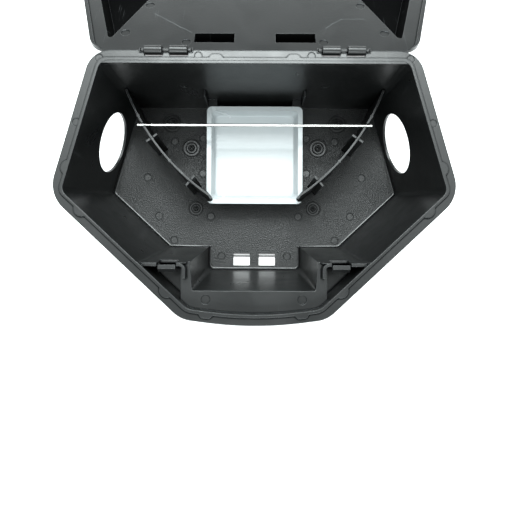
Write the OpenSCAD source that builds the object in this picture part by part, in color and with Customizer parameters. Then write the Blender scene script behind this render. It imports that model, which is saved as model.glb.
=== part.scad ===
/* [Rim] */
// Half width of the rim at the hinge, to the sharp corner
rim_half_rear = 131; // [105:1:160]
// Half width of the rim at its widest, to the sharp corner
rim_half_mid = 164; // [137:1:198]
// Half width of the rim's front edge, to the sharp corner
rim_half_front = 58; // [52:1:70]
// Distance from the hinge line to the front corners
rim_depth = 215; // [200:1:258]
// Distance from the hinge line to the widest corners
rim_mid_depth = 116; // [97:1:125]
// How far the front edge bows forward
front_bow = 5; // [2:0.5:10]
// Width of the flange along the sides and the angled fronts
flange_w = 9.5; // [8:0.1:12]
// Width of the flange at the hinge and along the front
flange_end_w = 8.6; // [8:0.1:11]
// Thickness of the flange
flange_t = 3; // [2:0.1:4]
// Width of the raised lip along the flange's inner edge
lip_w = 2.4; // [1.5:0.1:3]
// Height of the raised lip and its half-round pads
lip_h = 1.4; // [0.6:0.1:1.8]
// Radius of the half-round pads
pad_r = 6; // [4:0.1:7]

/* [Box] */
// Height of the rim above the ground
rim_h = 107.5; // [90:0.5:129]
// Thickness of the floor
floor_t = 2.5; // [2:0.1:4]
// Thickness of the walls
wall = 2.2; // [1.6:0.1:3]
// How far the side walls lean in from rim to floor
side_lean = 3; // [1:0.5:6]
// How far the angled front walls lean in from rim to floor
angled_lean = 15.8; // [8:0.1:18]
// How far the wall behind the locks leans back from rim to floor
lock_wall_lean = 17; // [10:0.5:20]
// Distance from the hinge line to the wall behind the locks, at the rim
lock_wall_depth = 170.5; // [165:0.5:176]
// Radius of the two entrance holes
hole_r = 28.5; // [22:0.5:32]
// Height of the entrance holes' centres above the floor
hole_height = 36; // [31:0.5:44]
// Distance from the hinge line to the entrance holes' centres
hole_depth = 52.5; // [45:0.5:62]
// Size of the sloped corner between floor and walls
floor_fillet = 1; // [0.8:0.1:2.5]

/* [Front bay] */
// Half width of the bay at the floor
bay_half_floor = 46.8; // [40:0.1:50]
// Half width of the bay at the shelf
bay_half_top = 52; // [46:0.5:54]
// Half width of the bay's straight front edge at the shelf
bay_half_front = 50.5; // [44:0.1:54]
// Distance from the hinge line to the bay's front at the floor
bay_floor_depth = 176.5; // [174:0.5:180]
// Distance from the hinge line to the front shelf's rear edge
shelf_depth = 192.8; // [188:0.1:198]
// How far the front shelf lies below the rim
shelf_drop = 9; // [6:0.5:12]

/* [Lock pockets] */
// Half distance between the pockets' inner sides
pocket_half = 59.5; // [57:0.5:62]
// Depth of the pockets below the rim
pocket_drop = 36; // [28:0.5:44]
// Thickness of the upright wall behind the tongues
lock_wall_t = 2.4; // [1.8:0.1:3]
// Half distance between the tongues' centres
tongue_x = 70.2; // [68:0.1:72]
// Width of a tongue
tongue_w = 14.3; // [10:0.1:15]
// Thickness of a tongue
tongue_t = 2.2; // [1.6:0.1:2.6]
// How far a tongue's head stands forward
tongue_head = 3.6; // [2.5:0.1:4.5]
// Height of a tongue's head
tongue_head_h = 5; // [4:0.5:7]
// Slit on each side of a tongue
tongue_slit = 0.8; // [0.5:0.1:1.2]

/* [Floor details] */
// Width of a tie slot in the floor
slot_w = 16.9; // [12:0.1:20]
// Length of a tie slot from front to back
slot_l = 12.1; // [9:0.1:14]
// Land between the two tie slots
slot_land = 9.2; // [7:0.1:12]
// Distance from the hinge line to the slots' rear edge
slot_depth = 160.2; // [158:0.1:163]
// Radius of the large fixing rings
ring_r = 8.9; // [7:0.1:10]
// Radius of the blind pilot in each large ring
pilot_r = 1.2; // [0.8:0.1:1.6]
// Radius of the small round mould marks
mark_r = 3.9; // [2.5:0.1:4]
// Depth of the rings and marks
mark_depth = 0.4; // [0.15:0.05:0.5]

/* [Baffles] */
// Height of the baffles above the floor
baffle_h = 52; // [46:0.5:60]
// Thickness of the baffles
baffle_t = 1.7; // [1.4:0.1:2.4]
// How far a baffle's arc bulges from its chord
baffle_bulge = 9.4; // [6:0.1:12]
// Half distance between the baffles' front tips
baffle_tip_x = 42; // [41:0.1:44]
// Distance from the hinge line to the baffles' front tips
baffle_tip_depth = 107.7; // [105:0.1:109]
// Length of the short cross ribs
cross_l = 11.8; // [9:0.1:14]

/* [Bait rod] */
// Radius of the rod
rod_r = 1.4; // [1:0.05:2]
// How far the rod reaches past each baffle
rod_overhang = 5.6; // [4:0.1:8]
// Distance from the hinge line to the rod
rod_depth = 42.7; // [38:0.1:46]
// Height of the rod's axis above the floor
rod_height = 50; // [44:0.5:54]

/* [Tray] */
// Width of the tray over its flange
tray_w = 93.8; // [88:0.1:96]
// Length of the tray over its flange
tray_l = 95.6; // [88:0.1:97]
// Distance from the hinge line to the tray's rear edge
tray_depth = 16.4; // [16:0.1:20]
// Height of the tray's rim above the floor
tray_height = 26; // [22:0.5:30]
// Depth of the tray inside
tray_inner = 14; // [10:0.5:17]
// Thickness of the tray
tray_t = 1.2; // [1:0.1:1.6]
// Width of the tray's flange
tray_flange = 3.2; // [2.4:0.1:4]

/* [Hinge] */
// Radius of the hinge pins
pin_r = 1.4; // [1.2:0.05:1.6]
// Length of a hinge pin
pin_l = 41.6; // [41:0.1:43]
// Radius of the lid's barrels
barrel_r = 3.6; // [3.2:0.1:4]
// Length of one barrel
barrel_l = 13.8; // [12:0.1:15]
// Gap between the two barrels of a hinge
barrel_gap = 6.4; // [5:0.1:8]
// Half distance between the two hinges' centres
hinge_x = 71.2; // [60:0.1:80]
// Radial clearance between pin and barrel
pin_fit = 0.08; // [0.04:0.01:0.1]

/* [Lid] */
// Thickness of the lid
lid_t = 2.4; // [2:0.1:3]
// Width of the lid's outer strip, which comes down beside the pads
strip_w = 3; // [2:0.1:3.2]
// Distance from the rim's edge to the cheek recesses
cheek_inset = 14; // [12:0.5:18]
// Distance from the hinge line to the cheek recesses' narrow ends
cheek_start = 13; // [10:0.5:20]
// Distance from the hinge line to the cheek recesses' inner corners
cheek_depth = 104; // [90:1:115]
// Depth of the cheek recesses
cheek_rise = 17; // [10:0.5:20]
// Width of the two rectangular lid recesses
recess_w = 33; // [24:0.5:38]
// Length of the two rectangular lid recesses
recess_l = 12; // [8:0.5:13]
// Depth of the two rectangular lid recesses
recess_rise = 10; // [6:0.5:12]
// Distance from the hinge line to the rectangular recesses
recess_depth = 12.2; // [10:0.1:14]
// Half distance between the rectangular recesses' centres
recess_x = 33.4; // [28:0.1:40]
// Radius of the key holes over the tongues
key_hole_r = 3.2; // [2.5:0.1:3.6]
// Width of a lid hook
hook_w = 11; // [8:0.1:13]
// Thickness of a lid hook's arm
hook_t = 2.4; // [2:0.1:3]

/* [Hidden] */
plastic = [0.17, 0.18, 0.185];
steel = [0.78, 0.79, 0.8];
clear_white = [0.9, 0.93, 0.95];
slab = 0.01;
over = 1;
touch_gap = 0.1;
run_gap = 0.3;
hinge_y = (rim_depth + front_bow) / 2;
hinge_z = rim_h + 0.2;
floor_z = floor_t;
inner_h = rim_h - floor_t;
shelf_z = rim_h - shelf_drop;
pocket_z = rim_h - pocket_drop;
// The lid is set back from the hinge axis so that it swings clear of the base flange.
lid_setback = 2.2;
lid_under = rim_h + lip_h + run_gap;
lid_top = lid_under + lid_t;
// The open lid leans back until its front edge comes down to the ground.
edge_r = norm([rim_depth + front_bow, lid_top - hinge_z]);
edge_angle = atan2(lid_top - hinge_z, rim_depth + front_bow);
lid_tilt = asin((hinge_z - run_gap) / edge_r) - edge_angle;

// The front edge's two halves meet at a peak, which is rounded over this share of each half.
bow_share = 0.64;
bow_peak = front_bow / (1 - bow_share / 2);
bow_r = bow_share * rim_half_front * norm([rim_half_front, bow_peak]) / bow_peak;

// Corners of the rim, counter-clockwise from the right rear, with the bow's peak at the front.
rim_corners = [
    [rim_half_rear, hinge_y],
    [-rim_half_rear, hinge_y],
    [-rim_half_mid, hinge_y - rim_mid_depth],
    [-rim_half_front, hinge_y - rim_depth],
    [0, hinge_y - rim_depth - bow_peak],
    [rim_half_front, hinge_y - rim_depth],
    [rim_half_mid, hinge_y - rim_mid_depth],
];
rim_radii = [20, 20, 26, 25, bow_r, 25, 26];
inner_radii = [9, 9, 8, 14, bow_r - flange_end_w, 14, 8];
// Corner radii of the cavity and of the bay, at the floor and at the top.
floor_radii = [5, 5, 4, 4, 4, 4];
top_radii = [9, 9, 8, 5, 5, 8];
bay_floor_radii = [4, 4, 5, 5];
bay_top_radii = [4, 4, 2, 2, 2, 2];

function unit(v) = v / norm(v);
function cross2(a, b) = a[0] * b[1] - a[1] * b[0];
function inward(a, b) = let(u = unit(b - a)) [-u[1], u[0]];
function meet(p, u, q, v) = p + u * cross2(q - p, v) / cross2(u, v);
function grown(radii, by) = [for (r = radii) r + by];
function middle(a, b, t) = a + (b - a) * t;

// The polygon with edge i moved inward by gaps[i]; edge i runs from corner i to the next.
function inset(poly, gaps) = [
    for (i = [0:len(poly) - 1])
        let(
            n = len(poly),
            a = poly[(i + n - 1) % n],
            b = poly[i],
            c = poly[(i + 1) % n],
            p = b + inward(a, b) * gaps[(i + n - 1) % n],
            q = b + inward(b, c) * gaps[i]
        )
        meet(p, b - a, q, c - b)
];

// The polygon with corner i rounded by an arc of radii[i].
function rounded(poly, radii, steps = 6) = [
    for (i = [0:len(poly) - 1])
        let(
            n = len(poly),
            p = poly[i],
            u = unit(poly[(i + n - 1) % n] - p),
            v = unit(poly[(i + 1) % n] - p),
            half = acos(u * v) / 2,
            c = p + unit(u + v) * radii[i] / sin(half),
            s = p + u * radii[i] / tan(half) - c,
            e = p + v * radii[i] / tan(half) - c,
            a = atan2(s[1], s[0]),
            turn = (atan2(e[1], e[0]) - a + 540) % 360 - 180
        )
        for (k = [0:steps]) c + radii[i] * [cos(a + turn * k / steps), sin(a + turn * k / steps)]
];

// A strip of thickness t along a path of points.
function ribbon(path, t) = let(
    n = len(path),
    side = [for (i = [0:n - 1]) inward(path[max(i - 1, 0)], path[min(i + 1, n - 1)]) * t / 2]
) concat(
    [for (i = [0:n - 1]) path[i] - side[i]],
    [for (i = [n - 1:-1:0]) path[i] + side[i]]
);

// Points of an arc from a to b that bulges to the right of the chord.
function bulged(a, b, bulge, steps = 16) = let(
    chord = norm(b - a),
    r = (chord * chord / 4 + bulge * bulge) / (2 * bulge),
    c = middle(a, b, 0.5) + inward(a, b) * (r - bulge),
    half = asin(chord / 2 / r),
    start = atan2(a[1] - c[1], a[0] - c[0])
) [for (k = [0:steps]) c + r * [cos(start + 2 * half * k / steps), sin(start + 2 * half * k / steps)]];

function ends_gaps(side, angled, ends) = [ends, side, angled, ends, ends, angled, side];
function rim_inset(extra) = inset(rim_corners,
    ends_gaps(flange_w + extra, flange_w + extra, flange_end_w + extra));

// Slopes of the main cavity: how far each wall has come in at a depth below the rim.
function lean(total, z) = total * (rim_h - z) / inner_h;
lock_y = hinge_y - lock_wall_depth;
// How far the top of the lock walls lies below the rim
rib_drop = 2.5;
// The corner between floor and walls has two slopes, which meet at this height and depth.
fillet_step = floor_fillet * 0.3;
// The main cavity's outline at height z, drawn in by extra; its front is the lock wall.
function cavity(z, extra) = let(
    s = flange_w + lean(side_lean, z) + extra,
    f = flange_w + lean(angled_lean, z) + extra,
    e = flange_end_w + extra,
    y = lock_y + lean(lock_wall_lean, z) + extra,
    o = inset(rim_corners, ends_gaps(s, f, e)),
    front = meet(o[5], o[6] - o[5], [0, y], [1, 0])
) [o[0], o[1], o[2], [-front[0], y], front, o[6]];

// The bay's outline at the floor and at the shelf, drawn in by extra.
function bay_floor(extra) = let(y = hinge_y - bay_floor_depth + extra, x = bay_half_floor - extra) [
    [x, lock_y + lock_wall_lean + wall],
    [-x, lock_y + lock_wall_lean + wall],
    [-x, y],
    [x, y],
];
function bay_top(extra) = let(y = hinge_y - shelf_depth + extra, x = bay_half_top - extra) [
    [x, lock_y + lock_wall_lean + wall],
    [-x, lock_y + lock_wall_lean + wall],
    [-x, lock_y - wall],
    [-bay_half_front + extra, y],
    [bay_half_front - extra, y],
    [x, lock_y - wall],
];

// The lock ribs turn forward this far inside the pockets.
rib_end = 5;
// The pockets and the front step in a hair from the main cavity's angled walls.
pocket_step = 0.12;
front_step = 0.2;
// One lock pocket's outline on the right, drawn in by extra.
function pocket(extra) = let(
    o = rim_inset(extra + pocket_step),
    x = pocket_half + extra,
    y = lock_y - lock_wall_t - extra,
    f = o[5],
    d = o[6] - o[5]
) [[x, y], meet(f, d, [x, 0], [0, 1]), meet(f, d, [0, y], [1, 0])];

// The right baffle in plan, from the rear corner to its tip beside the tray.
root_inset = 1.6;
baffle_root = cavity(floor_z, 0)[0] - [root_inset, root_inset];
baffle_path = bulged([baffle_tip_x, hinge_y - baffle_tip_depth], baffle_root, baffle_bulge);
rod_y = hinge_y - rod_depth;
rod_z = floor_z + rod_height;
rod_cross = [for (i = [1:len(baffle_path) - 1])
    let(a = baffle_path[i - 1], b = baffle_path[i])
    if (a[1] <= rod_y && b[1] > rod_y) middle(a, b, (rod_y - a[1]) / (b[1] - a[1]))[0]][0];
rod_half = rod_cross + rod_overhang;
notch_w = 2 * (rod_r + run_gap);

// Tray places: its rim stands over the floor, its rear edge in front of the seats.
tray_back = hinge_y - tray_depth;
tray_front = tray_back - tray_l;
tray_rim_z = floor_z + tray_height;
tray_flange_t = 1.5;
seat_z = tray_rim_z - tray_flange_t - touch_gap;
seat_w = 10.3;
seat_x = tray_w / 2 - seat_w + 0.6;
tray_bottom_z = tray_rim_z - tray_inner - tray_t;

tongue_y = lock_y - 1.3;
tongue_top = rim_h - rib_drop - 0.5;
tongue_root = pocket_z + run_gap;
hook_y = tongue_y - tongue_t - tongue_head - run_gap;
hook_barb_top = tongue_top - tongue_head_h - run_gap;
hook_barb_h = 5;
hook_bite = 2.2;

side_dir = unit(rim_corners[6] - rim_corners[0]);
side_out = [-side_dir[1], side_dir[0]];
hole_spot = rim_corners[0] + side_dir * (hole_depth / -side_dir[1]);

module slice(z, points) {
    translate([0, 0, z]) linear_extrude(slab) polygon(points);
}
module prism(z0, z1, points) {
    translate([0, 0, z0]) linear_extrude(z1 - z0) polygon(points);
}
module both_sides() {
    children();
    mirror([1, 0, 0]) children();
}
module lid_open() {
    translate([0, hinge_y, hinge_z]) rotate([-180 - lid_tilt, 0, 0])
        translate([0, -hinge_y, -hinge_z]) children();
}
module disc(x, depth, z, r, h) {
    translate([x, hinge_y - depth, z]) cylinder(r = r, h = h, $fn = 32);
}

// ---- base shell ----
module main_outside() {
    hull() {
        slice(0, rounded(cavity(floor_z, -wall), grown(floor_radii, wall)));
        slice(rim_h - over, rounded(cavity(rim_h - over, -wall), grown(top_radii, wall)));
    }
}
module main_inside() {
    hull() {
        slice(floor_z, rounded(cavity(floor_z, floor_fillet), floor_radii));
        slice(floor_z + fillet_step, rounded(cavity(floor_z, fillet_step), floor_radii));
        slice(floor_z + floor_fillet, rounded(cavity(floor_z, 0), floor_radii));
        slice(rim_h + 2 * over, rounded(cavity(rim_h + 2 * over, 0), top_radii));
    }
}
module bay_outside() {
    hull() {
        slice(0, rounded(bay_floor(-wall), grown(bay_floor_radii, 1)));
        slice(shelf_z - slab, rounded(bay_top(-wall), grown(bay_top_radii, 1)));
    }
}
module bay_inside() {
    hull() {
        slice(floor_z, rounded(bay_floor(floor_fillet), bay_floor_radii));
        slice(floor_z + floor_fillet, rounded(bay_floor(0), bay_floor_radii));
        slice(shelf_z, rounded(bay_top(0), bay_top_radii));
    }
}
module front_part(z0, z1, y1) {
    translate([-rim_half_mid, -2 * hinge_y, z0]) cube([2 * rim_half_mid, 2 * hinge_y + y1, z1 - z0]);
}
module front_outside() {
    intersection() {
        prism(shelf_z - wall, rim_h - 1.4 * over, rounded(rim_inset(front_step - wall), inner_radii));
        front_part(0, rim_h, lock_y);
    }
}
// The space above the shelf. Its back is open to the bay and to the top of the lock walls.
module front_inside() {
    back = lock_y + lean(lock_wall_lean, shelf_z) + over;
    half = pocket_half - rib_end;
    translate([-half, lock_y - over, shelf_z]) cube([2 * half, back - lock_y + over, rim_h]);
    intersection() {
        prism(shelf_z, rim_h + 3 * over, rounded(rim_inset(front_step), inner_radii));
        union() {
            front_part(0, rim_h + 4 * over, lock_y);
            front_part(rim_h - rib_drop - touch_gap, rim_h + 4 * over, lock_y + 2);
        }
    }
}
// The flange, with a lip along its inner edge and half-round pads beside it.
module flange() {
    difference() {
        prism(rim_h - flange_t, rim_h, rounded(rim_corners, rim_radii, 10));
        prism(rim_h - flange_t - over, rim_h + over, rounded(rim_inset(over), inner_radii));
    }
    difference() {
        prism(rim_h - over, rim_h + lip_h, rounded(rim_inset(-lip_w), inner_radii));
        prism(rim_h - 2 * over, rim_h + 2 * lip_h, rounded(rim_inset(over), inner_radii));
    }
    difference() {
        intersection() {
            prism(rim_h - over, rim_h + lip_h,
                rounded(inset(rim_corners, ends_gaps(1, 1, 1) * (strip_w + run_gap)), inner_radii));
            both_sides() pads();
        }
        prism(rim_h - 2 * over, rim_h + 2 * lip_h, rounded(rim_inset(over), inner_radii));
    }
}
// Pads as [edge, share of the edge's length] on the right half; the left half mirrors them.
pad_spots = [[0, 0.374], [6, 0.172], [5, 0.842], [5, 0.161], [4, 0.72]];
module pads() {
    o = rim_inset(0);
    for (s = pad_spots) {
        spot = middle(o[s[0]], o[(s[0] + 1) % 7], s[1]);
        translate([spot[0], spot[1], rim_h - over]) cylinder(r = pad_r, h = over + lip_h, $fn = 48);
    }
}
module entrance_hole() {
    translate([hole_spot[0], hole_spot[1], floor_z + hole_height])
        rotate([0, 0, atan2(side_out[1], side_out[0])]) rotate([0, -90, 0])
            cylinder(r = hole_r, h = 8 * wall + flange_w, center = true, $fn = 96);
}
// The barrels' cut-outs in the rear flange.
barrel_room = 0.9;
module barrel_cuts() {
    for (s = [-1, 1])
        translate([hinge_x + s * (barrel_l + barrel_gap) / 2 - (barrel_l + barrel_room) / 2,
            hinge_y - barrel_r - barrel_room, rim_h - flange_t - over])
            cube([barrel_l + barrel_room, barrel_r + 2 * over, flange_t + lip_h + 2 * over]);
}
// Three open saddles carry each hinge pin: one at each end and one between the barrels.
saddle_r = pin_r + 0.45;
saddle_gap = 0.5;
module saddles() {
    end_x = barrel_gap / 2 + barrel_l + saddle_gap;
    end_w = pin_l / 2 - end_x + saddle_gap + 0.1;
    mid_w = barrel_gap - 2 * saddle_gap;
    for (span = [[-mid_w / 2, mid_w], [end_x, end_w], [-end_x - end_w, end_w]])
        translate([hinge_x + span[0], hinge_y, 0]) {
            translate([0, -saddle_r, rim_h - 2 * over]) cube([span[1], saddle_r, 2.5 * over]);
            intersection() {
                translate([0, 0, hinge_z]) rotate([0, 90, 0]) cylinder(r = saddle_r, h = span[1], $fn = 48);
                translate([0, -saddle_r, rim_h - 2 * over]) cube([span[1], 2 * saddle_r, 2.5 * over]);
            }
        }
}
module saddle_grooves() {
    r = pin_r + 0.02;
    h = pin_l + 0.4;
    translate([hinge_x, hinge_y, hinge_z]) rotate([0, 90, 0])
        cylinder(r = r, h = h, center = true, $fn = 48);
    translate([hinge_x - h / 2, hinge_y - r, hinge_z]) cube([h, 2 * r, 2 * pin_r]);
}
// A large fixing ring: a sunk disc round a small raised boss with a blind pilot.
module fixing_ring(spot, r, hole) {
    boss_r = r * 0.38;
    difference() {
        disc(spot[0], spot[1], floor_z - 2 * mark_depth, r, 2 * mark_depth + over);
        disc(spot[0], spot[1], floor_z - 3 * mark_depth, boss_r, 3 * mark_depth);
    }
    if (hole > 0) disc(spot[0], spot[1], floor_z - floor_t * 0.6, hole, floor_t);
}
// Places as [distance from the middle, distance from the hinge line]: the fixing rings, then
// the mould marks on the floor, on the shelf, on the flange and under the lid.
rear_ring = [86, 24.8];
middle_ring = [65.8, 50.5];
front_ring = [60.8, 113.5];
small_ring_r = ring_r * 0.78;
rear_floor_marks = [[53.4, 40.4], [83, 43.8], [53.6, 77], [111, 81.5]];
front_floor_marks = [[45.2, 121.8], [99, 121.5], [83, 146.5], [33.9, 163]];
shelf_mark = [39.3, 200];
flange_marks = [[45.4, 4.2], [124.8, 6.3], [142.6, 58]];
flange_mark_r = 3.2;
lid_marks = [[56.2, 12.4], [107.6, 24.7], [91.9, 63.3]];
module floor_cuts() {
    fixing_ring(rear_ring, ring_r, pilot_r);
    fixing_ring(middle_ring, ring_r, pilot_r);
    fixing_ring(front_ring, small_ring_r, 0);
    for (m = concat(rear_floor_marks, front_floor_marks))
        disc(m[0], m[1], floor_z - mark_depth, mark_r, over);
    disc(shelf_mark[0], shelf_mark[1], shelf_z - mark_depth, mark_r, over);
    for (m = flange_marks) disc(m[0], m[1], rim_h - mark_depth, flange_mark_r, over);
}
// A mark on the rear wall, beside the tray.
rear_mark_x = 64;
rear_mark_drop = 48;
module rear_mark() {
    translate([rear_mark_x, hinge_y - flange_end_w + mark_depth, rim_h - rear_mark_drop]) rotate([90, 0, 0])
        cylinder(r = mark_r, h = over, $fn = 32);
}
// Each slot has a thin bar across it near its rear edge, for the tie to go round.
module tie_slots() {
    bar = 1.1;
    bar_back = 1.7;
    difference() {
        translate([slot_land / 2, hinge_y - slot_depth - slot_l, -over])
            cube([slot_w, slot_l, floor_t + 2 * over]);
        translate([slot_land / 2 - over, hinge_y - slot_depth - bar_back - bar, 0])
            cube([slot_w + 2 * over, bar, floor_t - 0.6]);
    }
}
// The rib behind a lock pocket: it runs in from the angled wall and turns forward.
module lock_rib() {
    y = lock_y - lock_wall_t / 2;
    turn_r = 4;
    turn_l = 11;
    x = pocket_half - rib_end + 1.8;
    bend = [for (a = [0:15:90]) [x + turn_r - turn_r * sin(a), y - turn_r + turn_r * cos(a)]];
    start = pocket(0)[2][0] + 1.5;
    path = concat([[start, y]], bend, [[x, y - turn_l]]);
    prism(shelf_z - wall / 2, rim_h - rib_drop, ribbon(path, lock_wall_t));
}
// The tongue stands in a window at the top of the wall and in a shallow recess below it.
window_drop = 17;
flex_room = 1.9;
module tongue_window() {
    x = tongue_x - tongue_w / 2 - tongue_slit;
    w = tongue_w + 2 * tongue_slit;
    front = lock_y - lock_wall_t - 1;
    translate([x, front, rim_h - window_drop]) cube([w, lock_wall_t + lock_wall_lean, rim_h]);
    translate([x, front, pocket_z]) cube([w, tongue_y + flex_room - front, rim_h]);
}
module tongue_backing() {
    translate([tongue_x - tongue_w / 2 - 2 * tongue_slit, lock_y - lock_wall_t, pocket_z - wall])
        cube([tongue_w + 4 * tongue_slit, lock_wall_t + 5, pocket_drop + wall - window_drop]);
}
// A bracket on the rear wall: a column under the tray's corner and a thin fin above it.
// Columns and posts start this far down in the floor.
sink = 0.5;
fin_t = 1.3;
fin_h = 24;
fin_gap = 1.2;
module tray_bracket() {
    back = hinge_y - flange_end_w + 0.4;
    seat_front = tray_back - tray_flange + run_gap;
    translate([seat_x, seat_front, floor_z - sink])
        cube([seat_w, back - seat_front, seat_z - floor_z + sink]);
    translate([seat_x + seat_w - fin_t, tray_back + fin_gap, seat_z - sink])
        cube([fin_t, back - tray_back - fin_gap, fin_h]);
}
// The rear flange's inner edge stands in over the rear wall.
ledge_w = 2.2;
ledge_t = 2;
module rear_ledge() {
    half = cavity(rim_h, 0)[0][0] + over;
    translate([-half, hinge_y - flange_end_w - ledge_w, rim_h - ledge_t])
        cube([2 * half, ledge_w + over, ledge_t + lip_h - run_gap / 2]);
}
// Two round posts under the front of the tray.
post_r = 3;
post_inset = 17;
module tray_post() {
    translate([tray_w / 2 - post_inset, tray_front + post_inset + 1, floor_z - sink])
        cylinder(r = post_r, h = tray_bottom_z - touch_gap - floor_z + sink, $fn = 32);
}
module base_shell() {
    color(plastic)
    difference() {
        union() {
            difference() {
                union() {
                    main_outside();
                    bay_outside();
                    front_outside();
                    both_sides() {
                        prism(pocket_z - wall, rim_h - 1.2 * over, pocket(-wall));
                        tongue_backing();
                    }
                    flange();
                }
                main_inside();
                bay_inside();
                front_inside();
                both_sides() {
                    prism(pocket_z, rim_h + over, pocket(0));
                    entrance_hole();
                    barrel_cuts();
                    floor_cuts();
                    tie_slots();
                    rear_mark();
                }
            }
            rear_ledge();
            both_sides() {
                lock_rib();
                tray_bracket();
                tray_post();
                saddles();
            }
        }
        both_sides() {
            tongue_window();
            saddle_grooves();
        }
    }
}

// ---- baffles ----
// Nubs and cross ribs stand at these shares of the baffle's length, from its tip.
nub_shares = [0.38, 0.79];
cross_shares = [0.175, 0.6];
function at_share(t) = let(i = t * (len(baffle_path) - 1), k = floor(i))
    middle(baffle_path[k], baffle_path[k + 1], i - k);
function along(t) = let(k = floor(t * (len(baffle_path) - 1))) baffle_path[k + 1] - baffle_path[k];
nub_r = 1.4;
cross_drop = 1.5;
root_relief = 4;
notch_l = 12;
module baffle() {
    difference() {
        union() {
            prism(floor_z, floor_z + baffle_h, ribbon(baffle_path, baffle_t));
            for (t = nub_shares)
                translate([at_share(t)[0], at_share(t)[1], floor_z])
                    cylinder(r = nub_r, h = baffle_h, $fn = 24);
            for (t = cross_shares)
                translate([at_share(t)[0], at_share(t)[1], floor_z])
                    rotate([0, 0, atan2(along(t)[1], along(t)[0])])
                        translate([-baffle_t / 2, -cross_l / 2, 0])
                            cube([baffle_t, cross_l, baffle_h - cross_drop]);
        }
        translate([baffle_root[0], baffle_root[1], floor_z - over])
            cylinder(r = root_relief, h = over + floor_fillet + touch_gap, $fn = 32);
        translate([rod_cross - notch_l / 2, rod_y - notch_w / 2, rod_z]) cube([notch_l, notch_w, baffle_h]);
        translate([rod_cross, rod_y, rod_z]) rotate([0, 90, 0])
            cylinder(r = notch_w / 2, h = notch_l, center = true, $fn = 32);
    }
}
module right_baffle() {
    color(plastic) baffle();
}
module left_baffle() {
    color(plastic) mirror([1, 0, 0]) baffle();
}

// ---- bait rod ----
// A plain rod with a crimped neck and a bead near its left end.
module bait_rod() {
    neck_l = 4;
    neck_r = rod_r * 0.72;
    bead_l = 1.3;
    bead_r = rod_r + 0.3;
    neck_x = rod_cross - 3.6;
    color(steel) translate([0, rod_y, rod_z]) rotate([0, 90, 0]) {
        translate([0, 0, -neck_x + neck_l]) cylinder(r = rod_r, h = rod_half + neck_x - neck_l, $fn = 32);
        translate([0, 0, -neck_x]) cylinder(r = neck_r, h = neck_l, $fn = 32);
        translate([0, 0, -rod_half]) cylinder(r = rod_r, h = rod_half - neck_x, $fn = 32);
        translate([0, 0, -neck_x + neck_l]) cylinder(r = bead_r, h = bead_l, $fn = 32);
    }
}

// ---- bait tray ----
function tray_box(side, back, front) = let(x = tray_w / 2 - side) [
    [x, tray_back - back], [-x, tray_back - back], [-x, tray_front + front], [x, tray_front + front]];
// How far the tray's sides and front come in for each millimetre of depth.
tray_side_slope = 0.2;
tray_front_slope = 0.32;
tray_edge = 1.2;
tray_corners = [5, 5, 5, 5];
module tray_body(out, bottom) {
    d = tray_rim_z - bottom;
    top = tray_flange - out;
    side = top + (d - 1) * tray_side_slope;
    front = top + (d - 1) * tray_front_slope;
    hull() {
        slice(bottom,
            rounded(tray_box(side + tray_edge, top + tray_edge, front + tray_edge), tray_corners));
        slice(bottom + tray_edge, rounded(tray_box(side, top + tray_edge / 4, front), tray_corners));
        slice(tray_rim_z - slab, rounded(tray_box(top, top, top), grown(tray_corners, -1)));
    }
}
// A notch in each front corner of the flange, which clears the baffle's tip.
module tray_notch() {
    x = tray_w / 2 + over;
    tip = baffle_path[0];
    reach = 9.4;
    room = 1.2;
    front = 2.2;
    prism(tray_rim_z - 2 * tray_flange_t, tray_rim_z + over, [
        [x, tip[1] + reach],
        [tip[0] - room, tip[1] + room],
        [tip[0] - room, tip[1] - room / 2],
        [tip[0] + room / 2, tip[1] - front],
        [x, tip[1] - front],
    ]);
}
module bait_tray() {
    color(clear_white)
    difference() {
        union() {
            tray_body(0, tray_bottom_z);
            prism(tray_rim_z - tray_flange_t, tray_rim_z, rounded(tray_box(0, 0, 0), tray_corners));
        }
        translate([0, 0, slab * 2]) tray_body(-tray_t, tray_bottom_z + tray_t);
        both_sides() tray_notch();
    }
}

// ---- hinge pins ----
module pin() {
    translate([hinge_x, hinge_y, hinge_z]) rotate([0, 90, 0]) {
        cylinder(r = pin_r, h = pin_l - 2 * pin_r, center = true, $fn = 48);
        for (s = [-1, 1]) translate([0, 0, s * (pin_l / 2 - pin_r)]) sphere(r = pin_r, $fn = 32);
    }
}
module right_hinge_pin() {
    color(plastic) pin();
}
module left_hinge_pin() {
    color(plastic) mirror([1, 0, 0]) pin();
}

// ---- lid, drawn closed and turned back open ----
lid_corners = inset(rim_corners, [lid_setback, 0, 0, 0, 0, 0, 0]);
lid_radii = [18, 18, 26, 25, bow_r, 25, 26];
// The strip runs round the sides and the front and leaves the hinge edge open.
strip_gaps = [-over, strip_w, strip_w, strip_w, strip_w, strip_w, strip_w];
// A cheek recess follows the rim outside and the baffle inside.
function cheek(extra) = let(
    o = inset(rim_corners, ends_gaps(1, 1, 1) * cheek_inset),
    back = meet(o[6], o[0] - o[6], [0, hinge_y - cheek_start], [1, 0]),
    inner = [rim_half_front + cheek_side, hinge_y - cheek_depth]
) inset([back, inner, middle(o[6], o[5], cheek_share), o[6]], [extra, extra, extra, extra]);
cheek_side = 21;
cheek_share = 0.45;
cheek_slope = 5;
cheek_radii = [2.5, 12, 12, 10];
module cheek_solid(extra, z0, z1) {
    hull() {
        slice(z0, rounded(cheek(extra), cheek_radii));
        slice(z1, rounded(cheek(extra + cheek_slope), cheek_radii * 0.8));
    }
}
module barrels() {
    for (s = [-1, 1])
        translate([hinge_x + s * (barrel_l + barrel_gap) / 2, hinge_y, hinge_z])
            rotate([0, 90, 0]) cylinder(r = barrel_r, h = barrel_l, center = true, $fn = 64);
}
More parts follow.
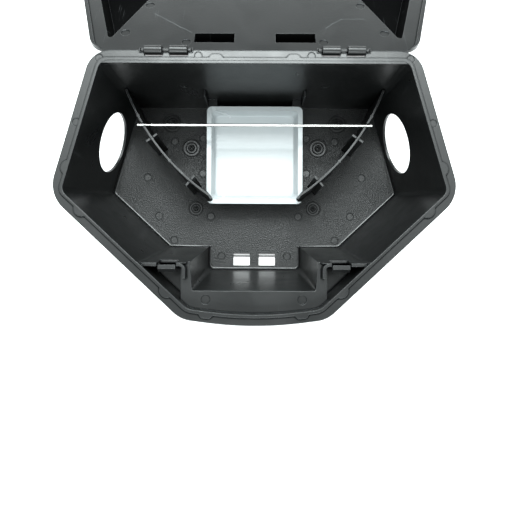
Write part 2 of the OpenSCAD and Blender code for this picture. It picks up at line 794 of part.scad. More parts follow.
module recess_block(grow, z0, z1) {
    translate([recess_x - recess_w / 2 - grow, hinge_y - recess_depth - recess_l - grow, z0])
        cube([recess_w + 2 * grow, recess_l + 2 * grow, z1 - z0]);
}
module lid_shell() {
    color(plastic) lid_open()
    difference() {
        union() {
            prism(lid_under, lid_top, rounded(lid_corners, lid_radii, 10));
            difference() {
                prism(rim_h + run_gap, lid_under + slab, rounded(lid_corners, lid_radii, 10));
                prism(rim_h, lid_under + 2 * slab,
                    rounded(inset(lid_corners, strip_gaps), grown(lid_radii, -strip_w)));
            }
            both_sides() {
                cheek_solid(-wall, lid_top - over, lid_under + cheek_rise + wall);
                recess_block(wall, lid_top - over, lid_under + recess_rise + wall);
                barrels();
            }
        }
        both_sides() {
            cheek_solid(0, lid_under - over, lid_under + cheek_rise);
            recess_block(0, lid_under - over, lid_under + recess_rise);
            translate([hinge_x, hinge_y, hinge_z]) rotate([0, 90, 0])
                cylinder(r = pin_r + pin_fit, h = pin_l + 4 * over, center = true, $fn = 64);
            translate([tongue_x, tongue_y, lid_under - over])
                cylinder(r = key_hole_r, h = lid_t + 2 * over, $fn = 48);
            for (m = lid_marks) disc(m[0], m[1], lid_under - over, mark_r, over + mark_depth);
        }
    }
}
// A hook hangs from the lid into the pocket and catches under the tongue's head.
module hook() {
    profile = [
        [hook_y, lid_under],
        [hook_y - hook_t - 2, lid_under],
        [hook_y - hook_t, lid_under - 4],
        [hook_y - hook_t, hook_barb_top - hook_barb_h],
        [hook_y, hook_barb_top - hook_barb_h],
        [hook_y + hook_bite, hook_barb_top - 1],
        [hook_y + hook_bite, hook_barb_top],
        [hook_y, hook_barb_top],
    ];
    translate([tongue_x - hook_w / 2, 0, 0]) rotate([90, 0, 90]) linear_extrude(hook_w) polygon(profile);
}
module right_lid_hook() {
    color(plastic) lid_open() hook();
}
module left_lid_hook() {
    color(plastic) lid_open() mirror([1, 0, 0]) hook();
}

// ---- lock tongues ----
module tongue() {
    y = tongue_y;
    profile = [
        [y, tongue_root],
        [y, tongue_top],
        [y - tongue_t - 1, tongue_top],
        [y - tongue_t - tongue_head, tongue_top - 3],
        [y - tongue_t - tongue_head, tongue_top - tongue_head_h],
        [y - tongue_t, tongue_top - tongue_head_h],
        [y - tongue_t, tongue_root],
    ];
    translate([tongue_x - tongue_w / 2, 0, 0]) rotate([90, 0, 90]) linear_extrude(tongue_w) polygon(profile);
}
module right_lock_tongue() {
    color(plastic) tongue();
}
module left_lock_tongue() {
    color(plastic) mirror([1, 0, 0]) tongue();
}

base_shell();
left_baffle();
right_baffle();
bait_rod();
bait_tray();
lid_shell();
left_lid_hook();
right_lid_hook();
left_hinge_pin();
right_hinge_pin();
left_lock_tongue();
right_lock_tongue();
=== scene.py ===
import math

import bpy
import numpy as np
from mathutils import Matrix, Vector


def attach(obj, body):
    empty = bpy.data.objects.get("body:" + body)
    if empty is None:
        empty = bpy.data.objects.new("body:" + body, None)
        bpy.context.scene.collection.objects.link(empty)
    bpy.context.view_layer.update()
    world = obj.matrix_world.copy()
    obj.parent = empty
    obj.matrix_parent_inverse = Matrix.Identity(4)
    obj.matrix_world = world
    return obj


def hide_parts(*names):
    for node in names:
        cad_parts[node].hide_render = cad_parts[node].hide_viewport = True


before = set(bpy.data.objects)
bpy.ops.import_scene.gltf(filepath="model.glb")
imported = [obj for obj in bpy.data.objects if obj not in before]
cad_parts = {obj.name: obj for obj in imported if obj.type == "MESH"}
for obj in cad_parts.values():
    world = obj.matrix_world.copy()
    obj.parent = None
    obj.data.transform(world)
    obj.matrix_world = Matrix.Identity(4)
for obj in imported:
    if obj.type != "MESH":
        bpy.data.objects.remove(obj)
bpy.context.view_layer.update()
scene = bpy.context.scene

# ---------------------------------------------------------------- table and backdrop
# The station stands on a plain white sheet, far larger than the box, so that the
# open lid's front edge, the tie slots and the entrance holes all show white behind.


def socket_values(node, **values):
    """Sets plain values on a node's inputs; underscores in the names stand for spaces."""
    for name, value in values.items():
        node.inputs[name.replace("_", " ")].default_value = value


def new_material(name):
    """An empty node material with its Principled shader and the nodes and links to add to."""
    material = bpy.data.materials.new(name)
    material.use_nodes = True
    nodes, links = material.node_tree.nodes, material.node_tree.links
    return material, nodes["Principled BSDF"], nodes, links


# The sheet is a level grid of squares: point (i, j) is (u(j), u(i), -sheet_drop).
sheet_half, sheet_drop, squares = 3.0, 0.0002, 8
sheet_mesh = bpy.data.meshes.new("white_sheet")
u = np.linspace(-sheet_half, sheet_half, squares + 1)
gx, gy = np.meshgrid(u, u)
grid = np.column_stack([gx.ravel(), gy.ravel(), np.full(gx.size, -sheet_drop)])
row, col = np.meshgrid(np.arange(squares), np.arange(squares), indexing="ij")
first = (row * (squares + 1) + col).ravel()
quads = np.column_stack([first, first + 1, first + squares + 2, first + squares + 1])
sheet_mesh.from_pydata(grid.tolist(), [], quads.tolist())
sheet = bpy.data.objects.new("white_sheet", sheet_mesh)
scene.collection.objects.link(sheet)
sheet_paint, shader, nodes, links = new_material("matt_white_sheet")
fibre = nodes.new("ShaderNodeTexNoise")
socket_values(fibre, Scale=180.0, Detail=4.0)
coords = nodes.new("ShaderNodeTexCoord")
links.new(coords.outputs["Object"], fibre.inputs["Vector"])
ramp = nodes.new("ShaderNodeMapRange")
socket_values(ramp, To_Min=0.86, To_Max=0.9)
links.new(fibre.outputs["Fac"], ramp.inputs["Value"])
links.new(ramp.outputs["Result"], shader.inputs["Base Color"])
socket_values(shader, Roughness=0.9, Specular_IOR_Level=0.2, Emission_Strength=0.35)
shader.inputs["Emission Color"].default_value = (1, 1, 1, 1)
sheet_mesh.materials.append(sheet_paint)

# ---------------------------------------------------------------- box
# The box is one black polypropylene moulding: smooth walls, a spark-eroded floor,
# a broad flange with a lip and half-round pads, and two lock pockets in front.


def joined(node):
    """A CAD node's corner points with repeats merged, and its triangles as rows of three."""
    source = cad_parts[node].data
    points = np.empty(3 * len(source.vertices))
    source.vertices.foreach_get("co", points)
    corners = np.empty(3 * len(source.polygons), dtype=int)
    source.polygons.foreach_get("vertices", corners)
    places, which = np.unique(points.reshape(-1, 3).round(6), axis=0, return_inverse=True)
    triangles = which.ravel()[corners].reshape(-1, 3)
    whole = (triangles != np.roll(triangles, 1, axis=1)).all(axis=1)
    return places, triangles[whole]


def new_piece(name, points, faces, body, slot):
    """A mesh object at the origin from whole arrays, riding on a body."""
    mesh = bpy.data.meshes.new(name)
    mesh.from_pydata(points.tolist(), [], faces.tolist())
    mesh.update()
    piece = bpy.data.objects.new(name, mesh)
    scene.collection.objects.link(piece)
    mesh.shade_smooth()
    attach(piece, body)
    return piece


def remade(node, name, body, slot, bevel=0.0, angle=32.0):
    """A CAD node's mesh, joined up and shaded smooth between its sharp edges, on its body.
    A bevel of that width in metres rounds the sharp edges."""
    piece = new_piece(name, *joined(node), body, slot)
    mesh = piece.data
    mesh.set_sharp_from_angle(angle=math.radians(angle))
    if bevel:
        rounding = piece.modifiers.new("edge_rounding", "BEVEL")
        rounding.width, rounding.segments = bevel, 2
        rounding.limit_method, rounding.angle_limit = "ANGLE", math.radians(angle)
        rounding.use_clamp_overlap = True
        rounding.miter_outer = "MITER_ARC"
    evened = piece.modifiers.new("even_shading", "WEIGHTED_NORMAL")
    evened.keep_sharp, evened.weight, evened.mode = True, 80, "FACE_AREA"
    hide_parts(node)
    return piece


def new_group(name, inputs, outputs):
    """An empty shader node group with inputs {name: default} and outputs {name: socket type}.
    Returns it with its nodes, its links, and its input and output nodes."""
    group = bpy.data.node_groups.new(name, "ShaderNodeTree")
    kinds = {float: "NodeSocketFloat", tuple: "NodeSocketVector"}
    for label, value in inputs.items():
        made = group.interface.new_socket(label, in_out="INPUT", socket_type=kinds[type(value)])
        made.default_value = value
    for label, kind in outputs.items():
        group.interface.new_socket(label, in_out="OUTPUT", socket_type=kind)
    given, result = group.nodes.new("NodeGroupInput"), group.nodes.new("NodeGroupOutput")
    return group, group.nodes, group.links, given, result


def use_group(nodes, group, **values):
    """Places a node group in a material with its own values."""
    placed = nodes.new("ShaderNodeGroup")
    placed.node_tree = group
    socket_values(placed, **values)
    return placed


def maths(nodes, links, operation, a, b=0.0, clamp=False):
    """A Math node on two values or sockets; returns its output."""
    node = nodes.new("ShaderNodeMath")
    node.operation, node.use_clamp = operation, clamp
    for at, value in enumerate((a, b)):
        if isinstance(value, (int, float)):
            node.inputs[at].default_value = value
        else:
            links.new(value, node.inputs[at])
    return node.outputs[0]


# Worn and highlit edges: the mask is where a rounded-off normal turns away from the face's own normal. It
# paints edges pale, partly as wear and partly as a painted highlight.
edge_wear_and_highlight, nodes, links, given, result = new_group(
    "edge_wear_and_highlight",
    {"Width": 0.0008, "Gain": 3.0},
    {"Mask": "NodeSocketFloat", "Rounded": "NodeSocketVector"},
)
soft = nodes.new("ShaderNodeBevel")
soft.samples = 4
links.new(given.outputs["Width"], soft.inputs["Radius"])
face = nodes.new("ShaderNodeNewGeometry")
turn = nodes.new("ShaderNodeVectorMath")
turn.operation = "DOT_PRODUCT"
links.new(soft.outputs["Normal"], turn.inputs[0])
links.new(face.outputs["Normal"], turn.inputs[1])
lost = maths(nodes, links, "SUBTRACT", 1.0, turn.outputs["Value"])
gained = maths(nodes, links, "MULTIPLY", lost, given.outputs["Gain"], clamp=True)
links.new(gained, result.inputs["Mask"])
links.new(soft.outputs["Normal"], result.inputs["Rounded"])

# Fine scratches: a long stretched noise, cut to its peaks, at a slant of its own.
scratches, nodes, links, given, result = new_group(
    "fine_scratches",
    {"Vector": (0.0, 0.0, 0.0), "Slant": (0.0, 0.0, 0.6), "Amount": 1.0},
    {"Mask": "NodeSocketFloat"},
)
slanted = nodes.new("ShaderNodeMapping")
slanted.inputs["Scale"].default_value = (900.0, 22.0, 22.0)
links.new(given.outputs["Vector"], slanted.inputs["Vector"])
links.new(given.outputs["Slant"], slanted.inputs["Rotation"])
streak = nodes.new("ShaderNodeTexNoise")
socket_values(streak, Scale=1.0, Detail=2.0)
links.new(slanted.outputs["Vector"], streak.inputs["Vector"])
peak = nodes.new("ShaderNodeMapRange")
socket_values(peak, From_Min=0.66, From_Max=0.8)
links.new(streak.outputs["Fac"], peak.inputs["Value"])
patch = nodes.new("ShaderNodeTexNoise")
socket_values(patch, Scale=26.0, Detail=2.0)
links.new(given.outputs["Vector"], patch.inputs["Vector"])
patchy = nodes.new("ShaderNodeMapRange")
socket_values(patchy, From_Min=0.5, From_Max=0.62)
links.new(patch.outputs["Fac"], patchy.inputs["Value"])
both = maths(nodes, links, "MULTIPLY", peak.outputs["Result"], patchy.outputs["Result"])
links.new(maths(nodes, links, "MULTIPLY", both, given.outputs["Amount"]), result.inputs["Mask"])

# Painted shade in crevices: the mask is (Open - free sky within Reach) Gain, so it rises where a
# neighbouring face stands close by, as at the foot of a lip or a ring. It turns the gloss off there and so
# paints those feet dark as shade.
crevice_shade_group, nodes, links, given, result = new_group(
    "painted_crevice_shade", {"Reach": 0.0018, "Open": 0.93, "Gain": 5.0}, {"Mask": "NodeSocketFloat"}
)
near = nodes.new("ShaderNodeAmbientOcclusion")
near.samples = 8
links.new(given.outputs["Reach"], near.inputs["Distance"])
closed = maths(nodes, links, "SUBTRACT", given.outputs["Open"], near.outputs["AO"])
shut = maths(nodes, links, "MULTIPLY", closed, given.outputs["Gain"], clamp=True)
links.new(shut, result.inputs["Mask"])

# One long scratch: noise (1 - d / Width), where d is the distance in plan from the line
# From + t Run, t from 0 to 1. The same slow noise makes the line waver.
long_scratch, nodes, links, given, result = new_group(
    "long_scratch",
    {"Vector": (0.0, 0.0, 0.0), "From": (0.0, 0.0, 0.0), "Run": (0.01, 0.01, 0.0), "Width": 0.0004},
    {"Mask": "NodeSocketFloat"},
)
waver = nodes.new("ShaderNodeTexNoise")
socket_values(waver, Scale=90.0, Detail=3.0)
links.new(given.outputs["Vector"], waver.inputs["Vector"])


def vector_maths(nodes, links, operation, a, b, out="Vector"):
    """A Vector Math node on two sockets, or a socket and a triple; returns one output."""
    node = nodes.new("ShaderNodeVectorMath")
    node.operation = operation
    for at, value in enumerate((a, b)):
        if isinstance(value, tuple):
            node.inputs[at].default_value = value
        else:
            links.new(value, node.inputs[at])
    return node.outputs[out]


drift = vector_maths(nodes, links, "MULTIPLY", waver.outputs["Color"], (0.003, 0.003, 0.0))
plan = vector_maths(nodes, links, "MULTIPLY", given.outputs["Vector"], (1.0, 1.0, 0.0))
wavering = vector_maths(nodes, links, "ADD", plan, drift)
offset = vector_maths(nodes, links, "SUBTRACT", wavering, given.outputs["From"])
reach = vector_maths(nodes, links, "DOT_PRODUCT", offset, given.outputs["Run"], "Value")
whole = vector_maths(nodes, links, "DOT_PRODUCT", given.outputs["Run"], given.outputs["Run"], "Value")
share = maths(nodes, links, "DIVIDE", reach, whole, clamp=True)
foot = nodes.new("ShaderNodeVectorMath")
foot.operation = "SCALE"
links.new(given.outputs["Run"], foot.inputs[0])
links.new(share, foot.inputs["Scale"])
gap = vector_maths(nodes, links, "DISTANCE", offset, foot.outputs["Vector"], "Value")
off_line = maths(nodes, links, "DIVIDE", gap, given.outputs["Width"])
fall = maths(nodes, links, "SUBTRACT", 1.0, off_line, clamp=True)
links.new(maths(nodes, links, "MULTIPLY", fall, waver.outputs["Fac"]), result.inputs["Mask"])

# Moulding skin: slow flow marks and a fine orange peel.
skin, nodes, links, given, result = new_group(
    "moulded_skin",
    {"Vector": (0.0, 0.0, 0.0), "Peel": 1.0},
    {"Height": "NodeSocketFloat", "Tone": "NodeSocketFloat"},
)
peel = nodes.new("ShaderNodeTexNoise")
socket_values(peel, Scale=420.0, Detail=3.0, Roughness=0.55)
flow = nodes.new("ShaderNodeTexNoise")
socket_values(flow, Scale=34.0, Detail=4.0, Roughness=0.6, Distortion=0.6)
for made in (peel, flow):
    links.new(given.outputs["Vector"], made.inputs["Vector"])
peeled = maths(nodes, links, "MULTIPLY", peel.outputs["Fac"], given.outputs["Peel"])
flowed = maths(nodes, links, "MULTIPLY", flow.outputs["Fac"], 0.8)
height = maths(nodes, links, "ADD", peeled, flowed)
links.new(height, result.inputs["Height"])
links.new(flow.outputs["Fac"], result.inputs["Tone"])


def level_floor(points, triangles):
    """The height of the box's floor, which is the level height with the most upward area below
    20 mm, and the triangles on it."""
    a, b, c = (points[triangles[:, k]] for k in range(3))
    turn = np.cross(b - a, c - a)
    level = (turn[:, 2] > 0.999 * np.linalg.norm(turn, axis=1)) & (a[:, 2] < 0.02)
    heights, which = np.unique(a[level, 2].round(5), return_inverse=True)
    found = heights[np.bincount(which.ravel(), turn[level, 2]).argmax()]
    return found, triangles[level & (abs(a[:, 2] - found) < 1e-5)]


box_points, box_triangles = joined("base_shell")
floor_level, floor_triangles = level_floor(box_points, box_triangles)


def black_plastic(name, dark, scuff_and_highlight, rough, peel=1.0, floor_grain=False, slant=0.6, edge=0.0006, cuts=()):
    """Black polypropylene: moulding skin, fine scratches, and pale edges, edge metres wide, which are
    partly wear and partly a painted highlight; a crevice mask paints shade at the feet of lips and rings.
    cuts lists long scratches as (from, run) in the plan. floor_grain adds the spark-eroded
    texture to upward faces level with the floor, and a fainter one to the marks just below it."""
    skin_depth, scratch_width = 0.00005, 0.0006
    material, shader, nodes, links = new_material(name)
    coords = nodes.new("ShaderNodeTexCoord").outputs["Object"]
    # Pale edges: partly wear, partly a painted highlight.
    pale_edges = use_group(nodes, edge_wear_and_highlight, Width=edge, Gain=2.5)
    marks = use_group(nodes, scratches, Slant=(0.0, 0.0, slant), Amount=0.8)
    surface = use_group(nodes, skin, Peel=peel)
    for placed in (marks, surface):
        links.new(coords, placed.inputs["Vector"])
    pale = maths(nodes, links, "ADD", pale_edges.outputs["Mask"], marks.outputs["Mask"], clamp=True)
    for start, run in cuts:
        cut = use_group(nodes, long_scratch, From=start, Run=run, Width=scratch_width)
        links.new(coords, cut.inputs["Vector"])
        pale = maths(nodes, links, "ADD", pale, cut.outputs["Mask"], clamp=True)
    # Painted shade: the crevice mask turns the plastic metallic, so its near-black colour darkens the feet
    # of lips and rings.
    crevice_shade = use_group(nodes, crevice_shade_group)
    links.new(crevice_shade.outputs["Mask"], shader.inputs["Metallic"])
    tone = nodes.new("ShaderNodeMix")
    tone.data_type = "RGBA"
    tone.inputs[6].default_value = dark
    tone.inputs[7].default_value = scuff_and_highlight
    links.new(pale, tone.inputs[0])
    links.new(tone.outputs[2], shader.inputs["Base Color"])
    spread = nodes.new("ShaderNodeMapRange")
    socket_values(spread, From_Min=0.3, From_Max=0.7, To_Min=rough - 0.05, To_Max=rough + 0.07)
    links.new(surface.outputs["Tone"], spread.inputs["Value"])
    gloss = spread.outputs["Result"]
    rise = surface.outputs["Height"]
    if floor_grain:
        place = nodes.new("ShaderNodeSeparateXYZ")
        links.new(coords, place.inputs[0])
        facing = nodes.new("ShaderNodeSeparateXYZ")
        links.new(nodes.new("ShaderNodeNewGeometry").outputs["Normal"], facing.inputs[0])
        # Painted crevice shade on the floor is narrower than on the flange, over 50 mm up.
        short = nodes.new("ShaderNodeMapRange")
        socket_values(short, From_Min=0.01, From_Max=0.05, To_Min=0.0008, To_Max=0.0019)
        links.new(place.outputs["Z"], short.inputs["Value"])
        links.new(short.outputs["Result"], crevice_shade.inputs["Reach"])
        # The full grain lies within 0.15 mm of the floor's height, and 0.4 of it within 0.6 mm.
        above = maths(nodes, links, "SUBTRACT", place.outputs["Z"], floor_level)
        off_level = maths(nodes, links, "ABSOLUTE", above)
        full = maths(nodes, links, "LESS_THAN", off_level, 0.00015)
        faint = maths(nodes, links, "LESS_THAN", off_level, 0.0006)
        full = maths(nodes, links, "MULTIPLY", full, 0.6)
        faint = maths(nodes, links, "MULTIPLY", faint, 0.4)
        upward = maths(nodes, links, "GREATER_THAN", facing.outputs["Z"], 0.8)
        grained = maths(nodes, links, "MULTIPLY", maths(nodes, links, "ADD", full, faint), upward)
        pits = nodes.new("ShaderNodeTexVoronoi")
        pits.feature = "SMOOTH_F1"
        socket_values(pits, Scale=1000.0, Smoothness=0.3, Randomness=1.0)
        grit = nodes.new("ShaderNodeTexNoise")
        socket_values(grit, Scale=1100.0, Detail=3.0, Roughness=0.7)
        for made in (pits, grit):
            links.new(coords, made.inputs["Vector"])
        eroded = maths(nodes, links, "ADD", pits.outputs["Distance"], grit.outputs["Fac"])
        eroded = maths(nodes, links, "MULTIPLY", eroded, 7.0)
        rise = maths(nodes, links, "ADD", rise, maths(nodes, links, "MULTIPLY", eroded, grained))
        gloss = maths(nodes, links, "ADD", gloss, maths(nodes, links, "MULTIPLY", grained, 0.05))
    relief = nodes.new("ShaderNodeBump")
    socket_values(relief, Strength=1.0, Distance=skin_depth)
    links.new(rise, relief.inputs["Height"])
    links.new(pale_edges.outputs["Rounded"], relief.inputs["Normal"])
    links.new(relief.outputs["Normal"], shader.inputs["Normal"])
    links.new(gloss, shader.inputs["Roughness"])
    return material


base_box = remade("base_shell", "box", "base", "black_plastic")
# The paler tone paints scratches, and edges partly as wear and partly as a painted highlight.
box_black, box_scuff_and_highlight = (0.0062, 0.0066, 0.0068, 1), (0.05, 0.054, 0.056, 1)
base_box.data.materials.append(
    black_plastic("black_box_moulding", box_black, box_scuff_and_highlight, 0.32, floor_grain=True, edge=0.001)
)

# ---------------------------------------------------------------- floor cove and rings
# The floor runs up into the walls through a small polished cove. Thin ridges on it outline the
# fixing rings and the round ejector marks. All are moulded with the box, of its own plastic,
# by the mould's inserts and pins.


def outline_loops(points, triangles):
    """The closed outlines of a sheet of triangles: its loops of edges that only one triangle
    uses, each as an array of points in order."""
    edges = np.vstack([triangles[:, [0, 1]], triangles[:, [1, 2]], triangles[:, [2, 0]]])
    size = len(points)
    lone = ~np.isin(edges[:, 0] * size + edges[:, 1], edges[:, 1] * size + edges[:, 0])
    after = dict(edges[lone].tolist())
    loops = []
    while after:
        start, step = after.popitem()
        loop = [start]
        while step in after:
            loop.append(step)
            step = after.pop(step)
        loops.append(points[loop])
    return loops


def carried(path, outward, profile, pivot=(0.0, 0.0), share=1.0):
    """A closed profile of (outward, up) distances carried round a closed path: point (i, j) is
    path point i plus pivot + share(i) (profile(j) - pivot), taken along its outward
    direction and up."""
    steps, sides = len(path), len(profile)
    shares = np.broadcast_to(share, steps)[:, None, None]
    section = np.array(pivot) + shares * (profile[None] - np.array(pivot))
    points = path[:, None, :] + section[:, :, :1] * outward[:, None, :]
    points[:, :, 2] += section[:, :, 1]
    i, j = np.meshgrid(np.arange(steps), np.arange(sides), indexing="ij")
    i2, j2 = (i + 1) % steps, (j + 1) % sides
    faces = np.stack([i * sides + j, i2 * sides + j, i2 * sides + j2, i * sides + j2], axis=-1)
    return points.reshape(-1, 3), faces.reshape(-1, 4)


def signed_area(loop):
    """Half the sum of the cross products of neighbouring points; above zero if the loop turns left."""
    x, y = loop[:, 0], loop[:, 1]
    return 0.5 * (x * np.roll(y, -1) - y * np.roll(x, -1)).sum()


loops = outline_loops(box_points, floor_triangles)
edge = max(loops, key=signed_area)
along = np.roll(edge, -1, axis=0) - edge
along /= np.linalg.norm(along, axis=1)[:, None]
normal = np.column_stack([along[:, 1], -along[:, 0], np.zeros(len(edge))])
before = np.roll(normal, 1, axis=0)
# A corner's outward direction is the sum of its two sides' outward normals over one plus their
# dot product, so that the cove keeps its width round the corner.
miter = (normal + before) / (1 + (normal * before).sum(axis=1))[:, None]
# The arc leaves the floor level and meets the wall upright, wall_foot outside the floor's edge:
# its point at angle t is (wall_foot - R (1 - sin t), R (1 - cos t)), t from 0 to 90 degrees.
# The back is buried root deep in the wall and half as deep in the floor.
cove_radius, wall_foot, root = 0.002, 0.001, 0.0006
turn = np.linspace(0.0, math.pi / 2, 7)
arc = np.column_stack([wall_foot - cove_radius * (1 - np.sin(turn)), cove_radius * (1 - np.cos(turn))])
behind, below = wall_foot + root, -root / 2
back = np.array([[behind, cove_radius], [behind, below], [arc[0, 0], below]])
# Along the rear wall, which is moulded sharp, the cove shrinks to a hair.
rear_band, rear_share = 0.004, 0.12
shares = np.where(edge[:, 1] > edge[:, 1].max() - rear_band, rear_share, 1.0)
swept = carried(edge, miter, np.vstack([arc, back])[::-1], (wall_foot, 0), shares)
cove = new_piece("floor_cove", *swept, "base", "black_plastic")
cove.data.set_sharp_from_angle(angle=math.radians(50))
cove.data.materials.append(
    black_plastic("polished_cove", (0.006, 0.0064, 0.0066, 1), (0.06, 0.064, 0.066, 1), 0.22, peel=0.3)
)

# Each ridge is a half-round ring on the floor, as (share of the outline's radius, half width,
# height). The small marks have one; the wide fixing rings have two more inside it.
mark_ridges = [(1.0, 0.0003, 0.0002)]
wide_ridges = [(1.0, 0.0006, 0.0005), (0.64, 0.0005, 0.0006), (0.24, 0.0008, 0.0013)]
wide_from, ring_steps, lobe_steps = 0.005, 40, 8
around = np.linspace(0, 2 * math.pi, ring_steps, endpoint=False)
spokes = np.column_stack([np.cos(around), np.sin(around), np.zeros(ring_steps)])
lobe = np.linspace(0, 2 * math.pi, lobe_steps, endpoint=False)
ring_points, ring_faces, used = [], [], 0
for loop in loops:
    centre = loop.mean(axis=0)
    radius = np.linalg.norm(loop - centre, axis=1).mean()
    # The floor's own edge turns left, and a tie slot encloses far less than a round hole would.
    if signed_area(loop) > -0.9 * math.pi * radius**2:
        continue
    for share, half_width, height in wide_ridges if radius > wide_from else mark_ridges:
        section = np.column_stack([half_width * np.cos(lobe), height * np.sin(lobe)])
        points, faces = carried(centre + share * radius * spokes, spokes, section)
        ring_points.append(points)
        ring_faces.append(faces + used)
        used += len(points)
ring_faces = np.vstack(ring_faces)[:, ::-1]
rings = new_piece("floor_rings", np.vstack(ring_points), ring_faces, "base", "black_plastic")
# The ridges are painted darker and less glossy than the floor. This is painted shade, so that they read as
# dark circles.
ring_shade_paint = black_plastic("painted_shade_ring_moulding", (0.003, 0.0033, 0.0035, 1), (0.07, 0.074, 0.076, 1), 0.4)
ring_shade_paint.node_tree.nodes["Principled BSDF"].inputs["Specular IOR Level"].default_value = 0.4
rings.data.materials.append(ring_shade_paint)

# ---------------------------------------------------------------- baffles
# Two curved baffles rise from the floor, with a notch for the rod, short cross ribs and nubs.
# They are of the same black plastic as the box and taken as moulded with it; their thin top edges are
# painted pale, mostly as a painted highlight and partly as scuffs.

baffle_black, baffle_scuff_and_highlight = (0.005, 0.0053, 0.0055, 1), (0.2, 0.21, 0.215, 1)
baffle_finish = black_plastic("black_baffle_moulding", baffle_black, baffle_scuff_and_highlight, 0.38)
for side in ("left", "right"):
    piece = remade(side + "_baffle", side + "_guide_wall", "base", "black_plastic", bevel=0.00025)
    piece.data.materials.append(baffle_finish)

# ---------------------------------------------------------------- bait rod
# A plain rod of drawn steel wire lies loose in the baffles' notches, over the tray. It has a
# crimped neck and a bead near its left end.

rod = remade("bait_rod", "bait_rod_wire", "rod", "steel_rod", bevel=0.0002)
steel, shader, nodes, links = new_material("bright_steel_wire")
coords = nodes.new("ShaderNodeTexCoord").outputs["Object"]
drawn = nodes.new("ShaderNodeMapping")
drawn.inputs["Scale"].default_value = (40.0, 2600.0, 2600.0)
links.new(coords, drawn.inputs["Vector"])
lines = nodes.new("ShaderNodeTexNoise")
socket_values(lines, Scale=1.0, Detail=4.0)
links.new(drawn.outputs["Vector"], lines.inputs["Vector"])
spread = nodes.new("ShaderNodeMapRange")
socket_values(spread, To_Min=0.18, To_Max=0.38)
links.new(lines.outputs["Fac"], spread.inputs["Value"])
links.new(spread.outputs["Result"], shader.inputs["Roughness"])
shade = nodes.new("ShaderNodeMix")
shade.data_type = "RGBA"
shade.inputs[6].default_value = (0.4, 0.395, 0.38, 1)
shade.inputs[7].default_value = (0.62, 0.62, 0.61, 1)
links.new(lines.outputs["Fac"], shade.inputs[0])
links.new(shade.outputs[2], shader.inputs["Base Color"])
relief = nodes.new("ShaderNodeBump")
socket_values(relief, Strength=0.4, Distance=0.00003)
links.new(lines.outputs["Fac"], relief.inputs["Height"])
links.new(relief.outputs["Normal"], shader.inputs["Normal"])
socket_values(shader, Metallic=1.0)
rod.data.materials.append(steel)

# ---------------------------------------------------------------- tray
# A thin milky polypropylene tray stands loose between the baffles. Its flat flange is notched
# at the front corners, where the baffles' tips reach in.

tray = remade("bait_tray", "milky_tray", "tray", "clear_tray", bevel=0.0003)
milky, shader, nodes, links = new_material("milky_tray_plastic")
coords = nodes.new("ShaderNodeTexCoord").outputs["Object"]
cloud = nodes.new("ShaderNodeTexNoise")
socket_values(cloud, Scale=28.0, Detail=3.0, Distortion=1.2)
links.new(coords, cloud.inputs["Vector"])
tint = nodes.new("ShaderNodeMix")
tint.data_type = "RGBA"
tint.inputs[6].default_value = (0.44, 0.475, 0.49, 1)
tint.inputs[7].default_value = (0.52, 0.55, 0.56, 1)
links.new(cloud.outputs["Fac"], tint.inputs[0])
links.new(tint.outputs[2], shader.inputs["Base Color"])
spread = nodes.new("ShaderNodeMapRange")
socket_values(spread, To_Min=0.16, To_Max=0.34)
links.new(cloud.outputs["Fac"], spread.inputs["Value"])
links.new(spread.outputs["Result"], shader.inputs["Roughness"])
ripple = nodes.new("ShaderNodeBump")
socket_values(ripple, Strength=0.5, Distance=0.0002)
links.new(cloud.outputs["Fac"], ripple.inputs["Height"])
links.new(ripple.outputs["Normal"], shader.inputs["Normal"])
socket_values(shader, Transmission_Weight=0.12, IOR=1.48)
tray.data.materials.append(milky)

# ---------------------------------------------------------------- hinge pins
# Each hinge turns on a plain dark plastic pin with rounded ends. The pin sits in three open
# saddles on the box's rear flange and runs through two barrels of the lid.

pin_finish = black_plastic("black_pin_plastic", (0.007, 0.0074, 0.0076, 1), (0.09, 0.094, 0.097, 1), 0.34)
for side in ("left", "right"):
    piece = remade(side + "_hinge_pin", side + "_hinge_peg", "base", "pin_plastic")
    piece.data.materials.append(pin_finish)

# ---------------------------------------------------------------- lid
# The lid is a thin moulded plate of black polypropylene, hinged on the two pins, with two deep cheek
# recesses and two small rectangular ones. The recesses lie in shade, so their insides get a darker, duller
# material of their own: painted shade.

lid = remade("lid_shell", "lid_plate", "lid", "black_plastic")
# Long scratches under the lid, as (start, run) in plan.
lid_cuts = [
    ((-0.085, 0.156, 0.0), (0.034, -0.023, 0.0)),
    ((0.061, 0.139, 0.0), (0.014, 0.011, 0.0)),
    ((0.074, 0.1495, 0.0), (0.02, 0.001, 0.0)),
]
# The paler tone paints scratches, and edges partly as wear and partly as a painted highlight.
lid_black, lid_scuff_and_highlight = (0.0038, 0.0042, 0.0044, 1), (0.08, 0.085, 0.088, 1)
lid.data.materials.append(
    black_plastic("black_lid_moulding", lid_black, lid_scuff_and_highlight, 0.34, slant=2.2, cuts=lid_cuts)
)
# Painted shade: near black, rough and with almost no gloss.
recess_shade_paint = black_plastic("painted_recess_shade", (0.0012, 0.0013, 0.0014, 1), (0.12, 0.125, 0.13, 1), 0.8)
recess_shade_paint.node_tree.nodes["Principled BSDF"].inputs["Specular IOR Level"].default_value = 0.03
lid.data.materials.append(recess_shade_paint)

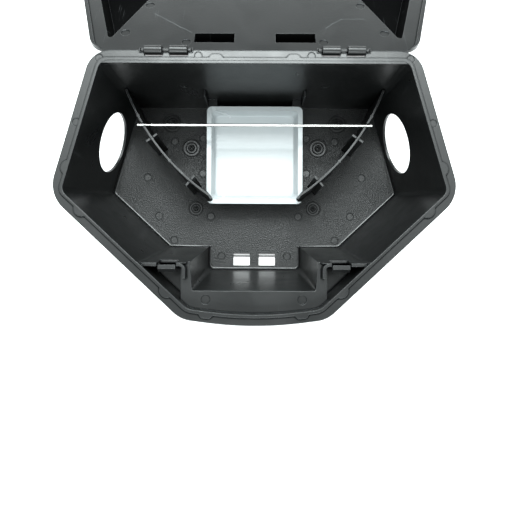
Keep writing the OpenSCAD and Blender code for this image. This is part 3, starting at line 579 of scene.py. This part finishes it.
# The open lid's inner side looks up, so its largest upward face gives the inner plane. A face is
# inside a recess if it lies below that plane and either looks the same way, as a bottom does,
# or stands across it and looks towards the nearest bottom.
recess_from, same_way = 0.0008, 0.9
faces = len(lid.data.polygons)
middles, facing, areas = np.empty(3 * faces), np.empty(3 * faces), np.empty(faces)
lid.data.polygons.foreach_get("center", middles)
lid.data.polygons.foreach_get("normal", facing)
lid.data.polygons.foreach_get("area", areas)
middles, facing = middles.reshape(-1, 3), facing.reshape(-1, 3)
under = facing[np.where(facing[:, 2] > 0.5, areas, 0).argmax()]
depth = middles @ under
plane = depth[np.where(facing @ under > 0.99, areas, 0).argmax()]
sunk = depth < plane - recess_from
bottoms = sunk & (facing @ under > same_way)
spots = middles[bottoms]
nearest = np.linalg.norm(middles[:, None] - spots[None], axis=2).argmin(axis=1)
inward = ((spots[nearest] - middles) * facing).sum(axis=1) > 0
inside = bottoms | (sunk & inward & (abs(facing @ under) < same_way))
# The faces inside a recess take the second material, the painted recess shade.
lid.data.polygons.foreach_set("material_index", inside.astype(np.int32))

# ---------------------------------------------------------------- locks
# Two snap tongues moulded with the box stand in its front wall, and two hooks moulded under the lid catch
# on them. Both are of the same black plastic, scuffed where they slide, and pale along all their edges,
# partly as wear and partly as a painted highlight.

lock_finish = black_plastic("black_lock_moulding", (0.005, 0.0053, 0.0055, 1), (0.12, 0.125, 0.13, 1), 0.4)
for side in ("left", "right"):
    for node, name, body in (
        ("_lock_tongue", "_snap_tongue", side + "_tongue"),
        ("_lid_hook", "_catch_hook", "lid"),
    ):
        piece = remade(side + node, side + name, body, "black_plastic", bevel=0.0003)
        piece.data.materials.append(lock_finish)

# ---------------------------------------------------------------- light and camera
# One broad softbox stands high behind the box and a weaker one in front, a wide panel hangs
# over it, and the room is white all round. The camera looks down from arm's length.


def softbox(name, place, aim, width, depth, radiance):
    """A rectangular area light at place that faces aim and shines with that radiance."""
    light = bpy.data.lights.new(name, "AREA")
    light.shape, light.size, light.size_y = "RECTANGLE", width, depth
    light.energy = radiance * math.pi * width * depth
    light.color = (0.93, 1.0, 1.0)
    holder = bpy.data.objects.new(name, light)
    scene.collection.objects.link(holder)
    holder.location = place
    holder.rotation_euler = (Vector(aim) - Vector(place)).to_track_quat("-Z", "Y").to_euler()
    return holder


softbox("rear_softbox", (0.0, 0.52, 0.85), (0.0, 0.05, 0.05), 0.62, 0.4, 16.5)
softbox("front_softbox", (0.0, -0.9, 1.0), (0.0, 0.05, 0.05), 0.9, 0.5, 11.0)
softbox("top_panel", (0.0, 0.6, 1.35), (0.0, 0.05, 0.0), 2.0, 1.2, 3.0)
room = bpy.data.worlds.new("white_room")
scene.world = room
room.use_nodes = True
room.node_tree.nodes["Background"].inputs["Color"].default_value = (0.93, 1.0, 1.0, 1)
room.node_tree.nodes["Background"].inputs["Strength"].default_value = 0.65
scene.view_settings.view_transform = "Standard"

camera_data = bpy.data.cameras.new("overhead_camera")
camera = bpy.data.objects.new("overhead_camera", camera_data)
scene.collection.objects.link(camera)
camera_data.sensor_width, camera_data.lens = 36.0, 30.74118
camera_data.clip_start = 0.01
pitch, roll = math.radians(1.15), math.radians(0.26)
tilt = Matrix.Rotation(pitch, 4, "X") @ Matrix.Rotation(roll, 4, "Z")
camera.matrix_world = Matrix.Translation((0.0008, -0.0607, 0.4531)) @ tilt
scene.camera = camera
